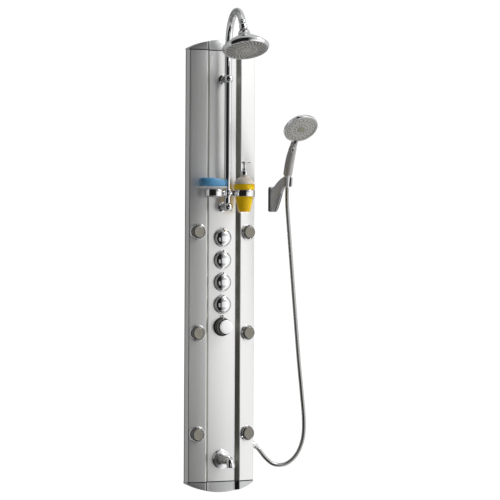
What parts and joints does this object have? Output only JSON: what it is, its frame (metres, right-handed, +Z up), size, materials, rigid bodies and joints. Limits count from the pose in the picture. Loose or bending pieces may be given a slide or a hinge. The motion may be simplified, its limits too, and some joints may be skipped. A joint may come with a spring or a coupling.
{
  "type": "rainfall shower column",
  "caption": "Wall-hung shower panel with an overhead rain head on a curved arm, hand shower on a hose, valve knobs, body jets, tub spout, soap dish and pump bottle.",
  "frame": {"origin": "on the wall plane at the middle of the panel's width and height", "axes": "+X to the right of a person facing the wall, +Y into the wall, +Z up"},
  "size_m": [0.4278, 0.38, 1.6162],
  "materials": {
    "aluminium": "satin anodised",
    "cap": "satin, a little darker",
    "chrome": "polished",
    "steel": "plain pressed sheet",
    "brass": "cast, unpolished",
    "grey_rubber": "matt, with soft nozzles",
    "nozzle_plastic": "matt grey beige",
    "satin_grey": "satin metallic grey",
    "black": "matt",
    "pearl": "bright pearl white",
    "frosted": "frosted white",
    "blue_soap": "pressed soap, slightly waxy",
    "yellow_liquid": "clear golden liquid",
    "clear_plastic": "translucent, thin walled",
    "white_tube": "flexible water pipe",
    "braided": "braided sleeve",
    "hose_skin": "satin silver grey"
  },
  "bodies": {
    "panel": {"wing_left": "aluminium", "wing_right": "aluminium", "centre_panel": "aluminium", "cap_top": "cap", "cap_bottom": "cap", "wall_bar_top": "steel", "wall_bar_bottom": "steel", "mixer_body": "brass", "riser_feed": "white_tube", "spout_feed": "white_tube", "jet_feed_left": "white_tube", "jet_feed_right": "white_tube", "hose_feed": "white_tube", "inlet_hot": "braided", "inlet_cold": "braided", "valve_trim_1": "chrome", "valve_trim_2": "chrome", "valve_trim_3": "chrome", "valve_trim_4": "chrome", "thermostat_trim": "black", "jet_ring_left_1": "chrome", "jet_ring_left_2": "chrome", "jet_ring_left_3": "chrome", "jet_ring_right_1": "chrome", "jet_ring_right_2": "chrome", "jet_ring_right_3": "chrome", "riser_pipe": "chrome", "riser_bracket_low": "chrome", "riser_bracket_high": "chrome", "tub_spout": "chrome", "hand_bracket": "chrome", "hose_outlet": "chrome", "hose": "hose_skin"},
    "arm": {"overhead_arm": "chrome", "ball_stud": "chrome"},
    "head_collar": {"ball_collar": "chrome"},
    "rain_head": {"rain_head_shell": "chrome", "rain_head_face": "grey_rubber"},
    "holder": {"accessory_holder": "chrome"},
    "dish": {"soap_dish": "frosted"},
    "soap": {"soap_bar": "blue_soap"},
    "bottle": {"soap_bottle": "clear_plastic", "bottle_liquid": "yellow_liquid", "pump_collar": "chrome"},
    "pump": {"pump_head": "chrome"},
    "knob_1": {"valve_knob_1": "chrome"},
    "knob_2": {"valve_knob_2": "chrome"},
    "knob_3": {"valve_knob_3": "chrome"},
    "knob_4": {"valve_knob_4": "chrome"},
    "thermostat": {"thermostat_grip": "satin_grey", "thermostat_cap": "pearl"},
    "handset": {"handset_body": "satin_grey", "handset_face": "grey_rubber"},
    "selector": {"handset_selector": "satin_grey"},
    "jet_left_1": {"jet_nozzle_left_1": "nozzle_plastic"},
    "jet_left_2": {"jet_nozzle_left_2": "nozzle_plastic"},
    "jet_left_3": {"jet_nozzle_left_3": "nozzle_plastic"},
    "jet_right_1": {"jet_nozzle_right_1": "nozzle_plastic"},
    "jet_right_2": {"jet_nozzle_right_2": "nozzle_plastic"},
    "jet_right_3": {"jet_nozzle_right_3": "nozzle_plastic"}
  },
  "joints": [
    {"name": "arm_swing", "type": "hinge", "parent": "panel", "child": "arm", "pos_m": [0, -0.078, 0.628], "axis": [0, 0, 1], "range_deg": [-33, 57]},
    {"name": "head_tilt", "type": "hinge", "parent": "arm", "child": "head_collar", "pos_m": [-0.04309, -0.28071, 0.78485], "axis": [-0.9945, 0.1045, 0], "range_deg": [-3.5, 34]},
    {"name": "head_turn", "type": "hinge", "parent": "head_collar", "child": "rain_head", "pos_m": [-0.04309, -0.28071, 0.78485], "axis": [-0.0358, -0.3402, -0.9397], "continuous": true},
    {"name": "holder_slide", "type": "slide", "parent": "panel", "child": "holder", "axis": [0, 0, 1], "range_m": [-0.012, 0.34]},
    {"name": "dish_lift", "type": "slide", "parent": "holder", "child": "dish", "axis": [0, 0, 1], "range_m": [0, 0.05]},
    {"name": "soap_lift", "type": "slide", "parent": "dish", "child": "soap", "axis": [0, 0, 1], "range_m": [0, 0.05]},
    {"name": "bottle_lift", "type": "slide", "parent": "holder", "child": "bottle", "axis": [0, 0, 1], "range_m": [0, 0.06]},
    {"name": "pump_press", "type": "slide", "parent": "bottle", "child": "pump", "axis": [0, 0, 1], "range_m": [-0.01, 0], "stiffness_N_per_m": 300, "springref_m": 0.004},
    {"name": "knob_1_turn", "type": "hinge", "parent": "panel", "child": "knob_1", "pos_m": [0, -0.0389, 0.0955], "axis": [0, -1, 0], "range_deg": [0, 90]},
    {"name": "knob_2_turn", "type": "hinge", "parent": "panel", "child": "knob_2", "pos_m": [0, -0.0389, 0.0205], "axis": [0, -1, 0], "range_deg": [0, 90]},
    {"name": "knob_3_turn", "type": "hinge", "parent": "panel", "child": "knob_3", "pos_m": [0, -0.0389, -0.0545], "axis": [0, -1, 0], "range_deg": [0, 90]},
    {"name": "knob_4_turn", "type": "hinge", "parent": "panel", "child": "knob_4", "pos_m": [0, -0.0389, -0.1295], "axis": [0, -1, 0], "range_deg": [0, 90]},
    {"name": "thermostat_turn", "type": "hinge", "parent": "panel", "child": "thermostat", "pos_m": [0, -0.0389, -0.2045], "axis": [0, -1, 0], "range_deg": [-135, 60]},
    {"name": "jet_left_1_tilt", "type": "hinge", "parent": "panel", "child": "jet_left_1", "pos_m": [-0.09385, -0.04572, 0.115], "axis": [1, 0, 0], "range_deg": [-15, 15]},
    {"name": "jet_left_2_tilt", "type": "hinge", "parent": "panel", "child": "jet_left_2", "pos_m": [-0.09385, -0.04572, -0.225], "axis": [1, 0, 0], "range_deg": [-15, 15]},
    {"name": "jet_left_3_tilt", "type": "hinge", "parent": "panel", "child": "jet_left_3", "pos_m": [-0.09385, -0.04572, -0.565], "axis": [1, 0, 0], "range_deg": [-15, 15]},
    {"name": "jet_right_1_tilt", "type": "hinge", "parent": "panel", "child": "jet_right_1", "pos_m": [0.09385, -0.04572, 0.115], "axis": [1, 0, 0], "range_deg": [-15, 15]},
    {"name": "jet_right_2_tilt", "type": "hinge", "parent": "panel", "child": "jet_right_2", "pos_m": [0.09385, -0.04572, -0.225], "axis": [1, 0, 0], "range_deg": [-15, 15]},
    {"name": "jet_right_3_tilt", "type": "hinge", "parent": "panel", "child": "jet_right_3", "pos_m": [0.09385, -0.04572, -0.565], "axis": [1, 0, 0], "range_deg": [-15, 15]},
    {"name": "handset_lift", "type": "slide", "parent": "panel", "child": "handset", "axis": [-0.0122, -0.1092, 0.9939], "range_m": [0, 0.08]},
    {"name": "selector_turn", "type": "hinge", "parent": "handset", "child": "selector", "pos_m": [0.19184, -0.24071, 0.457], "axis": [0, -0.6691, -0.7431], "range_deg": [-25, 25]}
  ]
}
